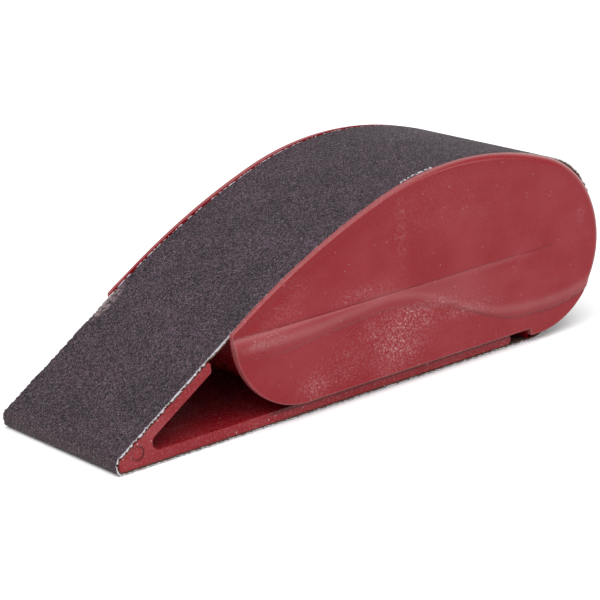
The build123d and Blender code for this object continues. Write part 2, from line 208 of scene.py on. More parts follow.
def straight(a, b, step):
    """Points from a towards b, evenly spaced, b left out."""
    count = max(2, int(hypot(b[0] - a[0], b[1] - a[1]) / step))
    w = np.linspace(0, 1, count, endpoint=False)[:, None]
    return np.array(a) * (1 - w) + np.array(b) * w


def belt_line(o, b, step=0.1):
    """Closed line of the belt's outer face, clockwise from the nose's lower corner."""
    g = outline_facts(o, b)
    top_turn = pi / 2 - g.angle
    high = (0.0, o.nose_height - b.nose_top * tan(top_turn / 2))
    ramp_radius = o.ramp_radius - b.rim_proud
    ramp_end = (g.ramp_x - ramp_radius * sin(g.angle), g.ramp_z + ramp_radius * cos(g.angle))
    turns = [
        (ramp_radius, g.angle - g.front), (o.crest_radius - b.rim_proud, g.front), (b.crest_radius, g.slack),
        (g.heel_radius, pi / 2 - g.slack), (g.low_radius, g.low), (g.toe_radius, pi / 2 - g.low),
    ]
    shoulder, shoulder_end = arcs(high, pi / 2, [(b.nose_top, top_turn)], step)
    back, heel = arcs(ramp_end, g.angle, turns, step)
    toe = (b.nose_low, 0.0)
    low, _ = arcs(toe, pi, [(b.nose_low, pi / 2)], step)
    return np.vstack([
        straight((0.0, b.nose_low), high, step), shoulder, straight(shoulder_end, ramp_end, step), back,
        straight(heel, toe, step), low,
    ])


def cheek_line(o, b, step=0.1):
    """Closed outline of a cheek, clockwise from the middle of its front edge."""
    g = outline_facts(o, b)
    start = (g.ramp_x - o.ramp_radius * sin(g.angle), g.ramp_z + o.ramp_radius * cos(g.angle))
    front_top = start[1] - (start[0] - o.front_x) * tan(g.angle)
    turn = pi / 2 - g.angle
    reach = o.front_corner * tan(turn / 2)
    corner, corner_end = arcs((o.front_x, front_top - reach), pi / 2, [(o.front_corner, turn)], step / 4)
    turns = [
        (o.ramp_radius, g.angle - g.front), (o.crest_radius, g.front + g.back),
        (o.heel_radius, pi / 2 - g.back), (g.heel_z - o.heel_bottom, pi / 2),
    ]
    rim, heel = arcs(start, g.angle, turns, step)
    low_front = (o.front_x + o.front_round, o.floor_height)
    front, front_end = arcs(low_front, pi, [(o.front_round, pi / 2)], step)
    stop_low, stop_top = (o.stop_x, o.heel_bottom), (o.stop_x - STOP_RUN, o.floor_height)
    return np.vstack([
        straight(front_end, (o.front_x, front_top - reach), step), corner,
        straight(corner_end, start, step), rim, straight(heel, stop_low, step),
        straight(stop_low, stop_top, step), straight(stop_top, low_front, step), front,
    ])


def along(line):
    """Running length at each point of a closed line, and at its first point again."""
    steps = np.roll(line, -1, axis=0) - line
    return np.concatenate([[0.0], np.cumsum(np.linalg.norm(steps, axis=1))])


def resample(line, s):
    """Points of a closed line at running lengths s."""
    run = along(line)
    full = np.vstack([line, line[:1]])
    s = np.mod(s, run[-1])
    return np.column_stack([np.interp(s, run, full[:, k]) for k in range(2)])


def across(line):
    """Direction at each point of a closed line, turned a quarter to the left, which is outwards here."""
    heading = np.roll(line, -1, axis=0) - np.roll(line, 1, axis=0)
    heading /= np.linalg.norm(heading, axis=1)[:, None]
    return np.column_stack([-heading[:, 1], heading[:, 0]])


def gap_to_line(points, line):
    """Distance of each point from a closed line: the least distance to any of its straight pieces."""
    a, b = line, np.roll(line, -1, axis=0)
    d = b - a
    length2 = np.maximum((d * d).sum(1), 1e-12)
    out = np.empty(len(points))
    batch = 4096
    for i in range(0, len(points), batch):
        p = points[i : i + batch, None, :] - a[None]
        w = np.clip((p * d[None]).sum(-1) / length2, 0, 1)
        out[i : i + batch] = np.sqrt(((p - w[..., None] * d[None]) ** 2).sum(-1).min(1))
    return out


def flowing(x, xs, ys):
    """Smooth line through (xs, ys): on each span a cubic, whose end slopes are those between neighbours."""
    xs, ys = np.asarray(xs, float), np.asarray(ys, float)
    slope = np.gradient(ys, xs)
    x = np.clip(x, xs[0], xs[-1])
    i = np.clip(np.searchsorted(xs, x) - 1, 0, len(xs) - 2)
    h = xs[i + 1] - xs[i]
    t = (x - xs[i]) / h
    return (
        (2 * t**3 - 3 * t**2 + 1) * ys[i] + (t**3 - 2 * t**2 + t) * h * slope[i]
        + (3 * t**2 - 2 * t**3) * ys[i + 1] + (t**3 - t**2) * h * slope[i + 1]
    )


def smooth(t):
    """0 below 0, 1 above 1, and three t squared less two t cubed between."""
    t = np.clip(t, 0, 1)
    return t * t * (3 - 2 * t)


def bell(t):
    """1 at 0, falling on both sides as e to the power of minus t squared."""
    return np.exp(-(t**2))


# --- Mesh helpers ---
def grid_faces(rows, columns, start=0, wrap=False):
    """Quads of a grid of points stored row by row; wrap joins the last column to the first."""
    i = np.arange(rows - 1)[:, None] * columns
    j = np.arange(columns if wrap else columns - 1)[None]
    k = (j + 1) % columns
    return (start + np.stack([i + j, i + k, i + columns + k, i + columns + j], axis=-1)).reshape(-1, 4)


def place(points, o):
    """Points in mm with x from the nose, as metres in the block's frame."""
    out = np.array(points, float)
    out[:, 0] -= o.length / 2
    return out * MM


def new_mesh(name, points, *faces):
    """A mesh from its points and one or more arrays of faces."""
    mesh = bpy.data.meshes.new(name)
    rows = [face for part in faces for face in np.asarray(part).tolist()]
    mesh.from_pydata(np.asarray(points, float).tolist(), [], rows)
    mesh.update()
    return mesh


def vertices(mesh):
    """A mesh's points as rows, in metres."""
    points = np.empty(len(mesh.vertices) * 3)
    mesh.vertices.foreach_get("co", points)
    return points.reshape(-1, 3)


def mark_points(mesh, name, values):
    """Stores a value for each point, under a name that a finish can read."""
    layer = mesh.attributes.new(name, "FLOAT", "POINT")
    layer.data.foreach_set("value", values.astype(np.float32))


def shade_smooth(mesh, sharp):
    """Smooth shading, broken where faces meet at more than the sharp angle in degrees."""
    mesh.polygons.foreach_set("use_smooth", np.ones(len(mesh.polygons), bool))
    mesh.set_sharp_from_angle(angle=radians(sharp))


def join_doubles(bm, gap):
    """Merges points closer than gap and drops the faces that this flattens."""
    bmesh.ops.remove_doubles(bm, verts=bm.verts, dist=gap)
    bmesh.ops.dissolve_degenerate(bm, edges=bm.edges, dist=SLIVER)


def closed_up(mesh, gap):
    """Joins doubles, turns the faces outwards and shades smooth between sharp edges."""
    bm = bmesh.new()
    bm.from_mesh(mesh)
    join_doubles(bm, gap)
    bmesh.ops.recalc_face_normals(bm, faces=bm.faces)
    bm.to_mesh(mesh)
    bm.free()
    shade_smooth(mesh, 38)
    mesh.update()


def turn_out(mesh):
    """Turns every face outwards."""
    bm = bmesh.new()
    bm.from_mesh(mesh)
    bmesh.ops.recalc_face_normals(bm, faces=bm.faces)
    bm.to_mesh(mesh)
    bm.free()


def add_piece(name, mesh, body, slot, *materials):
    """Puts a mesh in the scene as a piece that rides on a body."""
    obj = bpy.data.objects.new(name, mesh)
    bpy.context.scene.collection.objects.link(obj)
    for material in materials:
        mesh.materials.append(material)
    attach(obj, body)
    return obj


def finish_node(name, *materials):
    """Gives a CAD node its finish."""
    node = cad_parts[name]
    node.data.materials.clear()
    for material in materials:
        node.data.materials.append(material)
    return node


# --- Paint: shader nodes as expressions ---
class Value:
    """A socket that adds the Math node for each operator used on it."""

    def __init__(self, paint, socket):
        self.paint, self.socket = paint, socket

    def __add__(self, other):
        return self.paint.math("ADD", self, other)

    def __sub__(self, other):
        return self.paint.math("SUBTRACT", self, other)

    def __rsub__(self, other):
        return self.paint.math("SUBTRACT", other, self)

    def __mul__(self, other):
        return self.paint.math("MULTIPLY", self, other)

    def __truediv__(self, other):
        return self.paint.math("DIVIDE", self, other)

    def __pow__(self, other):
        return self.paint.math("POWER", self, other)

    def __abs__(self):
        return self.paint.math("ABSOLUTE", self)


class Paint:
    """One material, its Principled shader, and the nodes that feed it."""

    def __init__(self, name, **fixed):
        self.material = bpy.data.materials.new(name)
        self.material.use_nodes = True
        self.tree = self.material.node_tree
        self.shader = self.tree.nodes["Principled BSDF"]
        for socket, value in fixed.items():
            self.shader.inputs[socket.replace("_", " ")].default_value = value

    def link(self, socket, value):
        if isinstance(value, Value):
            self.tree.links.new(value.socket, socket)
        elif socket.type == "RGBA":
            socket.default_value = (*value[:3], 1)
        else:
            socket.default_value = value

    def node(self, kind, settings=None, sockets=None, out=0):
        """Adds a node: settings first, then its sockets' values or links."""
        made = self.tree.nodes.new(kind)
        for key, value in (settings or {}).items():
            setattr(made, key, value)
        for key, value in (sockets or {}).items():
            self.link(made.inputs[key], value)
        return Value(self, made.outputs[out])

    def math(self, operation, a, b=0.0):
        return self.node("ShaderNodeMath", {"operation": operation}, {0: a, 1: b})

    def place(self, stretch=(1, 1, 1), turn=(0, 0, 0)):
        """Object coordinates, stretched and turned."""
        where = self.node("ShaderNodeTexCoord", out="Object")
        return self.node("ShaderNodeMapping", {}, {"Vector": where, "Scale": stretch, "Rotation": turn})

    def axis(self, name):
        where = self.node("ShaderNodeTexCoord", out="Object")
        return self.node("ShaderNodeSeparateXYZ", {}, {0: where}, out=name)

    def noise(self, scale, detail, rough, vector=None):
        """Cloudy noise, scale in features per metre."""
        sockets = {"Vector": vector or self.place(), "Scale": scale, "Detail": detail, "Roughness": rough}
        return self.node("ShaderNodeTexNoise", {}, sockets)

    def cells(self, scale):
        """Distance from the middle of the nearest cell, scale in cells per metre."""
        return self.node("ShaderNodeTexVoronoi", {}, {"Vector": self.place(), "Scale": scale}, out="Distance")

    def cell_tone(self, scale, channel):
        """One random value for each cell: a channel of its random colour."""
        shade = self.node("ShaderNodeTexVoronoi", {}, {"Vector": self.place(), "Scale": scale}, out="Color")
        return self.node("ShaderNodeSeparateColor", {}, {0: shade}, out=channel)

    def rise(self, value, low, high, to_low=0.0, to_high=1.0):
        """Smooth rise of value from low to high."""
        sockets = {"Value": value, "From Min": low, "From Max": high, "To Min": to_low, "To Max": to_high}
        return self.node("ShaderNodeMapRange", {"interpolation_type": "SMOOTHSTEP"}, sockets)

    def mix(self, share, a, b):
        """Colour a, with a share of colour b."""
        return self.node("ShaderNodeMix", {"data_type": "RGBA"}, {"Factor": share, 6: a, 7: b}, out=2)

    def attribute(self, name):
        return self.node("ShaderNodeAttribute", {"attribute_name": name}, out="Fac")

    def bump(self, height, distance, strength):
        sockets = {"Height": height, "Distance": distance, "Strength": strength}
        return self.node("ShaderNodeBump", {}, sockets)

    def finish(self, **sockets):
        """Feeds the shader's sockets and gives back the material."""
        for socket, value in sockets.items():
            self.link(self.shader.inputs[socket.replace("_", " ")], value)
        return self.material


# --- Finishes ---
# Round mark on the nose shoe's side: X and Z of its middle and its radius, in metres.
PIN_X, PIN_Z, PIN_RADIUS = -0.1067, 0.0063, 0.0026


def darker(shade, share):
    """A share of a colour."""
    return tuple(v * share for v in shade)


def red_plastic(f, name, dusty, relief=False):
    """Satin red moulding: thin haze, clumps of fine white dust, specks, faint orange peel. On the cheeks,
    painted highlights along the band and on the rims, and painted shade in the crease, under the band and on
    the front panel;
    on the shoe, a painted shadow ring round the pin mark and a painted shadow under the cheek's overhang.
    """
    p = Paint(name, IOR=1.32)
    cloud = p.noise(38, 4, 0.6)
    fine = p.noise(2150, 4, 0.7)
    grit = p.noise(950, 3, 0.65)
    wipe = p.noise(140, 3, 0.6, p.place((0.25, 1, 1), (0, 0.2, 0)))
    specks = (1 - p.rise(p.cells(330), 0.055, 0.11)) * p.rise(p.cell_tone(330, "Red"), 0.55, 0.6)
    haze = p.rise(cloud, 0.35, 0.7) * 0.015 + p.rise(wipe, 0.5, 0.75) * 0.012
    marks = p.rise(fine, 0.5, 0.6)
    base = p.mix(p.rise(cloud, 0.3, 0.7), f.deep_red, f.red)
    dust_and_highlight = haze * dusty + marks * p.rise(grit, 0.45, 0.65) * (0.22 * (dusty - 0.6))
    if relief:
        smudge, shaded = p.attribute("smudge"), p.attribute("shaded")
        # Painted shade: less haze and a darker red on the front of the upper panel and inside the rim.
        dust_and_highlight = haze * (1 - shaded * 0.9) + marks * smudge * (p.rise(grit, 0.42, 0.6) * 0.5 + 0.1)
        # Painted highlight: a pale line on the rim's rounding, broken by noise.
        dust_and_highlight = dust_and_highlight + p.attribute("edge") * (p.rise(fine, 0.4, 0.62) * 0.12 + 0.04)
        # Painted highlight: pale strokes along the band's crest, under the crease, on the band and on the
        # heel's rim.
        dust_and_highlight = dust_and_highlight + p.attribute("painted_highlight") * 0.075
        base = p.mix(shaded, base, darker(f.deep_red, 0.98))
        # Painted shade: the crease and the line under the band are darkened towards deep red.
        base = p.mix(p.attribute("crease_shade") * 0.7, base, darker(f.deep_red, 0.55))
        specks = specks * (smudge + 0.35)
    else:
        # Painted shade on the shoe: a dark ring round the mark that a moulding pin leaves near the nose,
        # standing in for the shadow of its rim, and a painted shadow along the plate's upper edge, under the
        # cheek's overhang.
        x, z, side = p.axis("X"), p.axis("Z"), p.rise(abs(p.axis("Y")), 0.0372, 0.0376)
        ring = ((x - PIN_X) ** 2.0 + (z - PIN_Z) ** 2.0) ** 0.5
        ring = 1 - p.rise(abs(ring - PIN_RADIUS), 0.00012, 0.00045)
        overhang_shadow = p.rise(z, 0.0034, 0.0042) * p.rise(x, -0.052, -0.046) * (1 - p.rise(z, 0.0052, 0.0056))
        base = p.mix(p.math("MAXIMUM", ring * 0.75, overhang_shadow * 0.85) * side, base, darker(f.deep_red, 0.3))
    dust_and_highlight = p.math("MINIMUM", dust_and_highlight + specks * 0.6, 0.85)
    peel = p.noise(520, 2, 0.5)
    height = peel * 0.5 + grit * 0.3 + dust_and_highlight * 0.8
    return p.finish(
        Base_Color=p.mix(dust_and_highlight, base, f.dust_and_highlight),
        Roughness=p.rise(dust_and_highlight + grit * 0.15, 0.0, 0.6, 0.25, 0.65),
        Normal=p.bump(height, 0.00003, 0.6),
    )


def abrasive(f):
    """Grit coat: packed grains of uneven shade with dark gaps and bare glinting facets, the cut edges worn
    back to the pale cloth in an uneven line, and a browner, rubbed nose."""
    p = Paint("abrasive_coat", IOR=1.33)
    big, small = p.cell_tone(1750, "Red"), p.cell_tone(3400, "Green")
    gap = p.rise(p.cells(1750), 0.45, 0.8)
    fine = p.noise(4200, 2, 0.6)
    mottle = p.noise(60, 5, 0.65)
    level = (p.rise(big, 0.15, 0.95, 0.1, 2.15) + small * 0.75 - 0.27) * p.rise(mottle, 0.25, 0.75, 0.82, 1.2)
    shade = p.mix(p.rise(mottle, 0.35, 0.7), f.grit, (0.028, 0.0155, 0.023))
    shade = p.node("ShaderNodeVectorMath", {"operation": "SCALE"}, {0: shade, "Scale": level})
    shade = p.mix(gap * 0.7, shade, f.grit_dark)
    glint = p.rise(small, 0.82, 0.95)
    shade = p.mix(glint * 0.16, shade, f.grit_pale)
    x, y, z = p.axis("X"), p.axis("Y"), p.axis("Z")
    nose = 1 - p.rise(x, -0.1159, -0.1145)
    shade = p.mix(nose * 0.2, shade, (0.06, 0.035, 0.03))
    # A worn oval on the ramp, beside the far cheek's front corner.
    worn = ((x + 0.0668) / 0.0075) ** 2.0 + ((y - 0.0362) / 0.0032) ** 2.0
    worn = (1 - p.rise(worn, 0.1, 1.6)) * p.rise(z, 0.02, 0.03) * p.rise(p.noise(700, 3, 0.7), 0.4, 0.6)
    shade = p.mix(worn * 0.55, shade, (0.33, 0.25, 0.25))
    jag = (p.noise(620, 3, 0.7) - 0.5) * 0.0011 + (fine - 0.5) * 0.0005
    edge = p.rise(abs(y) + jag, 0.03768, 0.0379)
    shade = p.mix(edge * 0.85, shade, f.cloth)
    height = (1 - gap) * 0.8 + big * 0.7 + small * 0.5 + fine * 0.3
    return p.finish(
        Base_Color=shade,
        Roughness=p.rise(glint, 0, 1, 0.75, 0.35),
        Normal=p.bump(height, 0.00012, 0.8),
    )


def cloth(name, shade, dark, glued=None):
    """Cotton twill: ribs with a little fuzz. Where it is glued, it turns brown towards the back."""
    p = Paint(name, IOR=1.4, Roughness=0.92)
    weave = p.noise(2600, 3, 0.6, p.place((1, 0.25, 1)))
    fuzz = p.noise(900, 3, 0.7)
    tone = p.mix(p.rise(fuzz, 0.35, 0.7), shade, dark)
    if glued:
        deep = p.rise(p.attribute("depth") + (fuzz - 0.5) * 0.6, 0.34, 0.52)
        tone = p.mix(deep, tone, p.mix(p.rise(weave, 0.4, 0.6), glued, darker(glued, 0.4)))
    return p.finish(Base_Color=tone, Normal=p.bump(weave + fuzz, 0.00008, 0.9))


def metal(name, shade, rough):
    """Plated steel with fine drawn lines and dull spots."""
    p = Paint(name, Metallic=1.0)
    lines = p.noise(900, 2, 0.5, p.place((0.1, 1, 1)))
    spots = p.noise(300, 3, 0.6)
    return p.finish(
        Base_Color=p.mix(p.rise(spots, 0.45, 0.7), shade, darker(shade, 0.7)),
        Roughness=p.rise(lines + spots, 0.7, 1.3, rough, rough + 0.2),
        Normal=p.bump(lines, 0.00001, 0.4),
    )


# --- Handle ---
# The bulging band on a cheek: heights of its lower foot and of its crest at distances from the nose, in mm.
RIDGE_X, RIDGE_FOOT, RIDGE_CREST = np.transpose([
    (52.0, 28.9, 32.9), (57.2, 28.5, 33.0), (71.0, 27.4, 32.8), (88.9, 29.0, 33.3), (107.2, 30.3, 34.9),
    (124.6, 31.0, 36.1), (139.5, 28.3, 33.3), (150.8, 25.4, 28.6), (162.2, 21.0, 23.0), (172.5, 16.4, 19.0),
    (183.0, 13.1, 16.9), (196.5, 11.8, 15.6), (210.4, 12.1, 15.8), (226.1, 16.2, 18.7), (232.0, 18.6, 20.9),
])

# Dusty patches on a cheek: x from the nose, height, half width, half height, amount.
SMUDGES = (
    (126.0, 16.6, 11.0, 8.0, 1.0), (131.0, 23.0, 14.0, 5.0, 0.9), (137.0, 28.0, 18.0, 3.0, 0.8),
    (115.0, 24.0, 5.0, 5.0, 0.6), (160.0, 22.5, 14.0, 3.0, 0.6), (87.0, 11.0, 7.0, 5.0, 0.7),
    (98.0, 12.0, 9.0, 4.0, 0.4), (74.5, 41.5, 9.0, 4.0, 0.28), (82.0, 49.0, 7.0, 5.0, 0.22),
    (66.0, 34.0, 10.0, 3.0, 0.45), (131.0, 62.0, 2.6, 14.0, 0.35), (112.0, 40.5, 13.0, 3.0, 0.45),
    (150.0, 66.0, 30.0, 12.0, 0.12), (221.5, 46.0, 2.0, 4.0, 0.4), (105.0, 18.0, 10.0, 8.0, 0.3),
)


def relief(x, z, c, o):
    """Cheek surface, as a distance from the middle plane. The upper panel leans out from front to back. The
    band rises from the crease to its full height, and below its crest it rolls in to the lower panel as a
    quarter ellipse."""
    back = np.clip((x - o.front_x) / (c.fade_x - o.front_x), 0, 1)
    lean, ledge_from, fullness, ledge_run = 1.7, 60, 0.7, 0.45
    upper = c.upper_front + (c.band - c.upper_front) * (1 - (1 - back) ** lean)
    ledge = c.ledge * np.sin(pi * np.clip((x - ledge_from) / (c.fade_x - ledge_from), 0, 1)) ** fullness
    foot, crest = flowing(x, RIDGE_X, RIDGE_FOOT), flowing(x, RIDGE_X, RIDGE_CREST)
    thinner, thin_run, least, most = 0.55, 26, 1.5, 9.0
    full = c.band - thinner * (1 - smooth((x - o.front_x) / thin_run))
    down = np.clip((c.crease - z) / np.clip(c.crease - crest, least, most), 0, 1)
    base = upper + ledge * smooth((c.crease - z) / ledge_run)
    band = base + (full - base) * down * (2 - down)
    inward = np.clip((crest - z) / (crest - foot), 0, 1)
    band = np.where(z < crest, c.lower + (full - c.lower) * np.sqrt(np.maximum(1 - inward**2, 0)), band)
    return np.where(z > c.crease, upper, np.where(z < foot, c.lower, band))


def rim_rounding(x, z, c):
    """How far the edge is rounded: wide over heel and crest, firm along the ramp, crisp under the band."""
    foot = flowing(x, RIDGE_X, RIDGE_FOOT)
    front_rim, below_foot, band_run = 0.4, 1.5, 5
    top = c.firm_rim + (c.soft_rim - c.firm_rim) * smooth((x - 120) / 80)
    front = smooth((x - 54) / 8)
    rim = top * front + front_rim * (1 - front)
    return c.crisp_rim + (rim - c.crisp_rim) * smooth((z - foot + below_foot) / band_run)


# The spine's ends behind the front edge and in front of the heel, in mm, and each fan's share of the columns.
SPINE_FRONT, SPINE_BACK, FAN_SHARE = 20, 18, 0.17
# Close rows at the rim and at the crease: their distances from it, in mm.
NEAR_RIM = (0, 0.03, 0.09, 0.18, 0.3, 0.46, 0.7, 1.0, 1.35, 1.75, 2.2, 2.75, 3.4)
NEAR_CREASE = (1.3, 0.85, 0.5, 0.26, 0.1, 0.0)


def cheek_columns(line, c, o):
    """Where the grid's columns start on the outline's two halves, and where they end on the crease. Columns
    stand upright between the spine's ends, and fan out from each end to the outline in front or behind."""
    run = along(line)
    total = run[-1]
    run = run[:-1]
    crossings = np.where(np.sign(line[:, 1] - c.crease) != np.sign(np.roll(line[:, 1], -1) - c.crease))[0]
    front = crossings[np.argmin(line[crossings, 0])]
    heel = crossings[np.argmax(line[crossings, 0])]
    shift = c.crease - line[front, 1]
    s_front, s_heel = run[front] + shift, run[heel] + line[heel, 1] - c.crease
    x0, x1 = o.front_x + SPINE_FRONT, o.length - SPINE_BACK
    fan = int(c.columns * FAN_SHARE)
    spread = np.linspace(x0, x1, c.columns - 2 * fan)
    step = o.stop_x - STOP_RUN / 2 + np.linspace(-2.2, 2.2, 23)
    middle = np.unique(np.concatenate([spread, step, [o.stop_x - STOP_RUN, o.stop_x]]))
    halves, samples = [], 6000
    for way in (1, -1):
        s = np.linspace(0, (way * (s_heel - s_front)) % total, samples)
        edge = resample(line, s_front + way * s)
        a, b = np.argmax(edge[:, 0] >= x0), np.argmax(edge[:, 0] >= x1)
        near = np.linspace(0, s[a], fan, endpoint=False)
        far = np.linspace(s[b], s[-1], fan + 1)[1:]
        between = np.interp(middle, np.maximum.accumulate(edge[a : b + 1, 0]), s[a : b + 1])
        halves.append(resample(line, s_front + way * np.concatenate([near, between, far])))
    spine_x = np.concatenate([np.full(fan, x0), middle, np.full(fan, x1)])
    return halves, np.column_stack([spine_x, np.full(len(spine_x), c.crease)])


def cheek_surface(c, o, b):
    """One closed cheek, its outside towards -Y: two grids from the outline to the crease, above and below it,
    each with rows close together at the rim and at the crease, then the side wall and the flat inside."""
    line = cheek_line(o, b)
    halves, spine = cheek_columns(line, c, o)
    points, faces, start = [], [], 0
    for edge in halves:
        reach = np.linalg.norm(spine - edge, axis=1)
        near = np.minimum(np.array(NEAR_RIM)[:, None], reach * 0.4)
        last = reach - np.minimum(np.array(NEAR_CREASE)[:, None], reach * 0.3)
        share = np.linspace(0, 1, c.rows)[1:-1, None]
        steps = np.vstack([near, near[-1] + (last[0] - near[-1]) * share, last])
        w = (steps / reach)[..., None]
        flat = edge[None] * (1 - w) + spine[None] * w
        x, z = flat[..., 0], flat[..., 1]
        z[-1] = c.crease
        far, rim_zone = 99.0, 9.0
        gap = np.full(x.shape, far)
        close = steps < rim_zone
        gap[close] = gap_to_line(flat[close], line[::3])
        gap[0] = 0
        round_by = rim_rounding(x, z, c)
        short = np.clip(round_by - gap, 0, None)
        out = relief(x, z, c, o) - (round_by - np.sqrt(np.maximum(round_by**2 - short**2, 0)))
        out -= c.dish * bell((gap - 3.2) / 1.5) * (z > c.crease) * (1 - smooth((x - 70) / 90))
        wall = c.inside + (out[:1] - c.inside) * np.linspace(0, 1, 4)[:-1, None]
        x, z = np.vstack([x[[0, 0, 0]], x]), np.vstack([z[[0, 0, 0]], z])
        sheet = np.stack([x, -np.vstack([wall, out]), z], -1)
        back = np.stack([x[[0, -1]], np.full((2, len(edge)), -c.inside), z[[0, -1]]], -1)
        for part in (sheet, back):
            points.append(part.reshape(-1, 3))
            faces.append(grid_faces(*part.shape[:2], start))
            start += part.shape[0] * part.shape[1]
    return np.vstack(points), np.vstack(faces), line


def handle_core(name):
    """The CAD half without its cheek: triangles on the cheek go, and the rest end at the cheek's inside."""
    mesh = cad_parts[name].data
    points = vertices(mesh)
    mesh.calc_loop_triangles()
    triangles = np.empty(len(mesh.loop_triangles) * 3, int)
    mesh.loop_triangles.foreach_get("vertices", triangles)
    triangles = triangles.reshape(-1, 3)
    limit = bpy.context.scene.cheek_relief.inside * MM
    keep = (np.abs(points[triangles, 1]) < limit - HAIR).any(axis=1)
    points[:, 1] = np.clip(points[:, 1], -limit, limit)
    return points, triangles[keep]


class BLOCK_OT_handle(bpy.types.Operator):
    """Both handle halves: sculpted cheeks on the moulded core"""

    bl_idname = "block.handle"
    bl_label = "Handle"

    def execute(self, context):
        scene = context.scene
        c, o, b, f = scene.cheek_relief, scene.block_outline, scene.belt_sizes, scene.finishes
        points, faces, line = cheek_surface(c, o, b)
        plastic = red_plastic(f, "moulded_red", 1.0, relief=True)
        for name, flip in (("handle_left_shell", 1), ("handle_right_shell", -1)):
            cheek = place(points * (1, flip, 1), o)
            mesh = new_mesh(f"{name}_skin", cheek, faces)
            closed_up(mesh, SEAM)
            if flip < 0:
                mesh = with_screw_wells(mesh)
            core, triangles = handle_core(name)
            bm = bmesh.new()
            bm.from_mesh(mesh)
            core_mesh = new_mesh("core", core, triangles)
            bm.from_mesh(core_mesh)
            join_doubles(bm, SEAM)
            bmesh.ops.delete(bm, geom=[v for v in bm.verts if not v.link_faces], context="VERTS")
            bm.to_mesh(mesh)
            bm.free()
            bpy.data.meshes.remove(core_mesh)
            shade_smooth(mesh, 32)
            side_facts(mesh, c, o, line)
            piece = add_piece(name.replace("_shell", "_half"), mesh, "handle", "red_plastic", plastic)
            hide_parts(name)
        return {"FINISHED"}


# Metres: no two screws are closer than SCREW_ROOM; the wells' radius, depth and middle.
SCREW_ROOM, WELL_RADIUS, WELL_DEPTH, WELL_Y = 0.01, 0.00325, 0.006, 0.0405


def with_screw_wells(mesh):
    """A copy of a cheek with the screw wells bored through it, where the screws' heads are."""
    points = vertices(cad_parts["shell_screws"].data)
    heads = points[points[:, 1] > points[:, 1].max() - HAIR]
    centres = []
    for p in heads[:, [0, 2]]:
        if not any(np.linalg.norm(p - q[0]) < SCREW_ROOM for q in centres):
            group = heads[np.linalg.norm(heads[:, [0, 2]] - p, axis=1) < SCREW_ROOM]
            centres.append((p, (group.min(0) + group.max(0)) / 2))
    tool = bmesh.new()
    for _, middle in centres:
        where = Matrix.Translation((middle[0], WELL_Y, middle[2])) @ Matrix.Rotation(pi / 2, 4, "X")
        bmesh.ops.create_cone(
            tool, cap_ends=True, segments=48, radius1=WELL_RADIUS, radius2=WELL_RADIUS, depth=WELL_DEPTH,
            matrix=where,
        )
    cutter_mesh = bpy.data.meshes.new("well_cutter")
    tool.to_mesh(cutter_mesh)
    tool.free()
    cutter = bpy.data.objects.new("well_cutter", cutter_mesh)
    body = bpy.data.objects.new("well_body", mesh)
    for obj in (cutter, body):
        bpy.context.scene.collection.objects.link(obj)
    cut = body.modifiers.new("wells", "BOOLEAN")
    cut.object, cut.operation, cut.solver = cutter, "DIFFERENCE", "EXACT"
    bpy.context.view_layer.update()
    graph = bpy.context.evaluated_depsgraph_get()
    result = bpy.data.meshes.new_from_object(body.evaluated_get(graph))
    for obj in (cutter, body):
        bpy.data.objects.remove(obj)
    return result


def side_facts(mesh, c, o, line):
    """Values for the finish: edge is 1 on the rim and fades within 1 mm, and paints a highlight on the rim's
    rounding;
    painted highlights lie along the band's crest, under the crease, on the band and on the heel's rim;
    painted shade lies on the crease and under the band, and, as less haze and a darker red, on the front of
    the upper panel and inside the rim; smudge is the dusty patches."""
    points = vertices(mesh) / MM
    x, y, z = points[:, 0] + o.length / 2, np.abs(points[:, 1]), points[:, 2]
    outside = y > c.inside + 0.4
    gap = np.full(len(points), 9.0)
    gap[outside] = gap_to_line(np.column_stack([x, z])[outside], line[::4])
    foot, crest = flowing(x, RIDGE_X, RIDGE_FOOT), flowing(x, RIDGE_X, RIDGE_CREST)
    above, heel = z - c.crease, smooth((x - 205) / 15)

    # Painted shade: a dark line on the crease, and under the band towards the heel.
    crease = bell(above / 0.24) * (1 - smooth((x - c.fade_x) / 6))
    crease_shade = np.maximum(crease, bell((z - foot) / 0.45) * (0.04 + 0.6 * smooth((x - 155) / 25)))

    # Painted shade on the front of the upper panel and on a strip inside the rim.
    front_panel = smooth(above) * (1 - smooth((gap - 4.5) / 5)) * (1 - smooth((x - 90) / 80))
    rim_zone = smooth(above / 3) * (1 - smooth((gap - 2.5) / 4))
    shaded = np.maximum(front_panel, rim_zone * 0.6)

    smudge = np.zeros(len(points))
    for at_x, at_z, wide, tall, much in SMUDGES:
        smudge = np.maximum(smudge, much * np.exp(-(((x - at_x) / wide) ** 2) - ((z - at_z) / tall) ** 2))

    # Painted highlights along the band's crest, under the crease, on the lit band and on the heel's rim.
    crest_highlight = np.interp(x, (54, 62, 140, 165, 225, 232), (0.3, 1, 0.9, 0.8, 0.9, 0.5))
    under_crease = 0.7 * bell((above + 1.0) / 0.55) * (1 - smooth((x - 175) / 25))
    band = 0.5 * smooth((z - crest) / 2) * (above < -0.4) * (1 - smooth((x - 150) / 40))
    heel_rim = (3.4 + 1.8 * heel) * bell(gap / (0.8 + 0.5 * heel)) * smooth((x - 175) / 40)
    heel_rim = heel_rim * smooth((z - foot) / 3)
    painted_highlight = np.maximum.reduce([bell((z - crest) / 1.9) * crest_highlight, under_crease, band, heel_rim])

    facts = {"painted_highlight": painted_highlight, "edge": bell(gap / 0.4), "crease_shade": crease_shade, "shaded": shaded, "smudge": smudge}
    for name, values in facts.items():
        mark_points(mesh, name, values * outside)


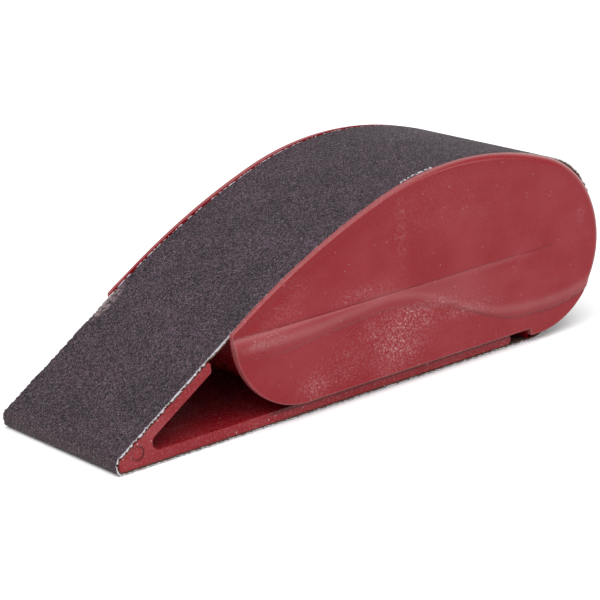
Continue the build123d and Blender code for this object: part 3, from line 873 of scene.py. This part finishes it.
# --- Belt ---
def waves(s, seed, total, count=9, least=3):
    """Unevenness along the loop: a sum of sines, each with a whole number of waves and a falling height."""
    rng = np.random.default_rng(seed)
    n = np.round(least * 1.6 ** np.arange(count)).astype(int)
    phase = rng.uniform(0, 2 * pi, count)
    height = 1 / np.sqrt(n)
    return (height * np.sin(2 * pi * n * s[..., None] / total + phase)).sum(-1) / height.sum()


def wander(count, seed, soften):
    """Random unevenness round a closed row: white noise smoothed over a few neighbours."""
    rng = np.random.default_rng(seed)
    raw = rng.normal(size=count)
    kernel = np.exp(-np.linspace(-2, 2, soften) ** 2)
    spread = np.fft.irfft(np.fft.rfft(raw) * np.abs(np.fft.rfft(kernel, count)), count)
    return spread / spread.std()


COLUMN_STEP, FACE_ROWS, BACK_ROWS = 0.34, 22, 7  # mm between the belt's columns, rows on its face and back
PUFF = 0.05  # how far the belt's face rises and falls, mm
EDGE_ROWS, INNER_ROW = (-1, -0.9975, -0.993), 0.985  # close rows at a cut edge, as shares of half the width
FRAY_LIMITS = (-2.4, 0.68)  # inwards and outwards, as shares of the fray


class BLOCK_OT_belt(bpy.types.Operator):
    """The stretched belt, its frayed edges and the tape behind its joint"""

    bl_idname = "block.belt"
    bl_label = "Belt"

    def execute(self, context):
        scene = context.scene
        o, b, f = scene.block_outline, scene.belt_sizes, scene.finishes
        outer = belt_line(o, b)
        total = along(outer)[-1]
        count = int(total / COLUMN_STEP)
        s = np.linspace(0, 1, count, endpoint=False) * total
        face = resample(outer, s)
        normal = across(face)
        half = b.width / 2
        # Round the belt's section: the grit face, one cut edge, the back and the other cut edge.
        near_edge, inner = np.array(EDGE_ROWS), np.linspace(-INNER_ROW, INNER_ROW, FACE_ROWS)
        rows = np.concatenate([near_edge, inner, -near_edge[::-1]]) * half
        under = np.linspace(1, -1, BACK_ROWS)[1:-1] * half
        depth = np.concatenate([np.zeros(len(rows)), [0.33, 0.66], np.ones(BACK_ROWS), [0.66, 0.33]])
        y = np.concatenate([rows, [half, half], [half], under, [-half], [-half, -half]])
        # Each cut edge wanders a little on its own.
        left = b.fray * (0.9 * wander(count, 3, 6) + 0.3 * wander(count, 4, 31)).clip(*FRAY_LIMITS)
        right = b.fray * (0.9 * wander(count, 5, 6) + 0.3 * wander(count, 6, 31)).clip(*FRAY_LIMITS)
        at_edge = np.clip((np.abs(y) - half * INNER_ROW) / (half * (1 - INNER_ROW)), 0, 1)
        shift = np.where(y[:, None] < 0, -left[None], right[None]) * at_edge[:, None]
        puff = PUFF * waves(s, 8, total)[None] * np.cos(y / half * pi / 2)[:, None]
        d = depth[:, None] * b.thickness - puff
        x = face[None, :, 0] - normal[None, :, 0] * d
        z = np.maximum(face[None, :, 1] - normal[None, :, 1] * d, 0.0)
        points = np.stack([x, y[:, None] + shift, z], -1).reshape(-1, 3)
        last = (len(y) - 1) * count
        j = np.arange(count)
        k = (j + 1) % count
        closing = np.stack([last + j, last + k, k, j], -1)
        faces = np.vstack([grid_faces(len(y), count, wrap=True), closing])
        mesh = new_mesh("sanding_belt_cloth", place(points, o), faces)
        row = np.repeat(np.arange(len(y)), count)
        mesh.polygons.foreach_set("material_index", (row >= len(rows) - 1).astype(np.int32))
        mesh.update()
        mark_points(mesh, "depth", np.repeat(depth, count))
        turn_out(mesh)
        shade_smooth(mesh, 50)
        grit = abrasive(f)
        cotton = cloth("belt_cloth", f.cloth, darker(f.cloth, 0.6), f.backing)
        lint = cloth("belt_lint", (0.68, 0.65, 0.68), (0.40, 0.37, 0.41))
        belt = add_piece("abrasive_belt", mesh, "handle", "abrasive_cloth", grit, cotton)
        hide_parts("sanding_belt")
        loose = self.threads(o, b, outer, total, (left, right))
        fray = add_piece("belt_threads", loose, "handle", "abrasive_cloth", lint)
        finish_node("belt_joint_tape", cloth("joint_tape", (0.5, 0.4, 0.26), (0.36, 0.28, 0.18)))
        return {"FINISHED"}

    def threads(self, o, b, outer, total, edges):
        """Loose threads: thin three-sided spikes that start in the cut edge and lean out and along it. The
        last ones are thicker flakes at the near edge of the crest."""
        rng = np.random.default_rng(11)
        flakes, from_x, to_x = 70, 135, 151
        look_ahead, tuck, splay, shortest = 0.2, 0.12, 0.9, 0.12
        knee, taper, droop, clear = 0.55, 0.8, 1.6, 0.02
        n = b.threads * 2 + flakes
        run = along(outer)[:-1]
        crest = run[(outer[:, 0] > from_x) & (outer[:, 0] < to_x) & (outer[:, 1] > o.height / 2)]
        s = np.concatenate([rng.uniform(0, total, n - flakes), rng.choice(crest, flakes)])
        flake = np.arange(n) >= n - flakes
        base = resample(outer, s)
        ahead = resample(outer, s + look_ahead)
        tangent = (ahead - base) / np.linalg.norm(ahead - base, axis=1)[:, None]
        normal = np.column_stack([-tangent[:, 1], tangent[:, 0]])
        side = np.where(flake | (np.arange(n) % 2 == 0), -1.0, 1.0)
        depth = np.where(flake, rng.uniform(-0.9, -0.2, n), rng.uniform(0.0, 0.5, n))
        root = base - normal * (depth * b.thickness)[:, None]
        at = s / total * len(edges[0])
        reach = [np.interp(at, np.arange(len(edge)), edge) for edge in edges]
        reach = b.width / 2 - tuck + np.where(flake, 0.0, np.where(side < 0, *reach))
        root = np.column_stack([root[:, 0], side * reach, root[:, 1]])
        none = np.zeros(n)
        onward = np.column_stack([tangent[:, 0], none, tangent[:, 1]])
        outward = np.column_stack([normal[:, 0], none, normal[:, 1]])
        lean = rng.normal(0, 0.9, n)[:, None]
        lift = rng.normal(0.15, 0.4, n)[:, None]
        way = onward * lean + outward * lift + np.column_stack([none, side, none]) * splay
        way /= np.linalg.norm(way, axis=1)[:, None]
        length = (b.thread_length * rng.beta(1.6, 2.6, n) + shortest)[:, None]
        thick = (rng.uniform(0.05, 0.11, n) * np.where(flake, 2.0, 1.0))[:, None]
        u = np.cross(way, outward)
        u /= np.linalg.norm(u, axis=1)[:, None]
        v = np.cross(way, u)
        ring = [u * cos(a) + v * sin(a) for a in (0, 2 * pi / 3, 4 * pi / 3)]
        bend = onward * rng.normal(0, 0.12, n)[:, None]
        low = [root + r * thick for r in ring]
        mid = [root + way * length * knee + bend + r * thick * taper for r in ring]
        tip = root + way * length + bend * droop
        tip[:, 2] = np.maximum(tip[:, 2], clear)
        points = np.stack(low + mid + [tip], axis=1).reshape(-1, 3)
        points[:, 2] = np.maximum(points[:, 2], 0.0)
        start = np.arange(n)[:, None, None] * 7
        sides = start + np.array([(0, 1, 4, 3), (1, 2, 5, 4), (2, 0, 3, 5)])[None]
        ends = start + np.array([(2, 1, 0), (3, 4, 6), (4, 5, 6), (5, 3, 6)])[None]
        mesh = new_mesh("belt_threads", place(points, o), sides.reshape(-1, 4), ends.reshape(-1, 3))
        turn_out(mesh)
        return mesh


# --- Shoe and hardware ---
class BLOCK_OT_shoe(bpy.types.Operator):
    """The nose shoe's dusty plastic, with its edges eased"""

    bl_idname = "block.shoe"
    bl_label = "Nose shoe"

    def execute(self, context):
        f = context.scene.finishes
        dusty = red_plastic(f, "dusty_red", 1.35)
        shoe = finish_node("nose_shoe", dusty)
        weld = shoe.modifiers.new("joined", "WELD")
        weld.merge_threshold = SEAM
        ease = shoe.modifiers.new("eased", "BEVEL")
        ease.width, ease.segments = 0.00022, 2
        ease.limit_method, ease.angle_limit = "ANGLE", radians(40)
        ease.harden_normals = True
        for name in ("slide_key_front", "slide_key_rear", "spring_block"):
            finish_node(name, dusty)
        return {"FINISHED"}


class BLOCK_OT_hardware(bpy.types.Operator):
    """Screws, rods and springs inside the handle"""

    bl_idname = "block.hardware"
    bl_label = "Hardware"

    def execute(self, context):
        f = context.scene.finishes
        plated = metal("plated_steel", f.steel, 0.32)
        wire = metal("spring_wire", (0.42, 0.42, 0.44), 0.26)
        for name in ("shell_screws", "key_screws", "spring_rod_left", "spring_rod_right"):
            finish_node(name, plated)
        for side in ("left", "right"):
            node = f"tension_spring_{side}"
            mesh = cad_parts[node].data.copy()
            mesh.materials.clear()
            closed_up(mesh, SPRING_SEAM)
            spring = add_piece(f"spring_{side}", mesh, "handle", "spring_steel", wire)
            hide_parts(node)
            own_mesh(spring)
        return {"FINISHED"}


# --- Stage ---
class BLOCK_OT_stage(bpy.types.Operator):
    """Pale floor, soft lights and the camera"""

    bl_idname = "block.stage"
    bl_label = "Stage"

    def execute(self, context):
        scene = context.scene
        st = scene.stage_sizes
        scene.view_settings.view_transform = "Standard"
        world = bpy.data.worlds.new("soft_room")
        world.use_nodes = True
        sky = world.node_tree.nodes["Background"]
        sky.inputs["Color"].default_value = (1.0, 1.0, 1.0, 1)
        sky.inputs["Strength"].default_value = st.sky
        scene.world = world

        far, under = 4, 0.0002
        corners = [(-far, -far, 0), (far, -far, 0), (far, far, 0), (-far, far, 0)]
        floor_mesh = new_mesh("floor", corners, [(0, 1, 2, 3)])
        floor = bpy.data.objects.new("floor", floor_mesh)
        floor.location.z = -under
        scene.collection.objects.link(floor)
        pale = Paint("pale_floor", Roughness=0.9, Base_Color=(0.82, 0.82, 0.82, 1))
        floor_mesh.materials.append(pale.material)

        boxes = (
            ("left_box", st.side, 0.9, (-1.0, -0.5, 0.55)),
            ("right_box", st.right, 0.6, (0.75, -1.0, 0.6)),
        )
        for name, power, width, where in boxes:
            lamp = bpy.data.lights.new(name, "AREA")
            lamp.energy, lamp.size, lamp.shape = power, width, "SQUARE"
            self.aim(bpy.data.objects.new(name, lamp), where)
        dome = bpy.data.lights.new("overhead", "SUN")
        dome.energy, dome.angle = st.key, radians(75)
        self.aim(bpy.data.objects.new("overhead", dome), (-0.25, -0.3, 1.0))

        camera = bpy.data.cameras.new("camera")
        camera.lens, camera.sensor_width = st.lens, 36.0
        camera.clip_start, camera.clip_end = 0.05, 50
        eye = bpy.data.objects.new("camera", camera)
        around = Matrix.Rotation(radians(st.azimuth), 4, "Z")
        down = Matrix.Rotation(radians(90 - st.elevation), 4, "X")
        roll = Matrix.Rotation(radians(st.roll), 4, "Z")
        eye.matrix_world = Matrix.Translation(st.place) @ around @ down @ roll
        scene.collection.objects.link(eye)
        scene.camera = eye
        return {"FINISHED"}

    def aim(self, lamp, where):
        """Puts a lamp in the scene, turned towards the block."""
        lamp.location = where
        lamp.rotation_euler = (-Vector(where)).to_track_quat("-Z", "Y").to_euler()
        bpy.context.scene.collection.objects.link(lamp)


class BLOCK_PT_panel(bpy.types.Panel):
    """The block's operators and sizes"""

    bl_label = "Belt Sanding Block"
    bl_space_type = "VIEW_3D"
    bl_region_type = "UI"
    bl_category = "Block"

    def draw(self, context):
        for operator in OPERATORS:
            self.layout.operator(operator.bl_idname)
        for name in GROUPS:
            group = getattr(context.scene, name)
            box = self.layout.box()
            for key in group.__annotations__:
                box.prop(group, key)


OPERATORS = (BLOCK_OT_handle, BLOCK_OT_belt, BLOCK_OT_shoe, BLOCK_OT_hardware, BLOCK_OT_stage)
GROUPS = {
    "block_outline": BlockOutline,
    "cheek_relief": CheekRelief,
    "belt_sizes": BeltSizes,
    "finishes": Finishes,
    "stage_sizes": StageSizes,
}


def register():
    for cls in (*GROUPS.values(), *OPERATORS, BLOCK_PT_panel):
        bpy.utils.register_class(cls)
    for name, cls in GROUPS.items():
        setattr(bpy.types.Scene, name, PointerProperty(type=cls))


def unregister():
    for name in GROUPS:
        delattr(bpy.types.Scene, name)
    for cls in (BLOCK_PT_panel, *reversed(OPERATORS), *reversed(GROUPS.values())):
        bpy.utils.unregister_class(cls)


def main():
    register()
    for operator in OPERATORS:
        group, name = operator.bl_idname.split(".")
        getattr(getattr(bpy.ops, group), name)()


if __name__ == "__main__":
    main()
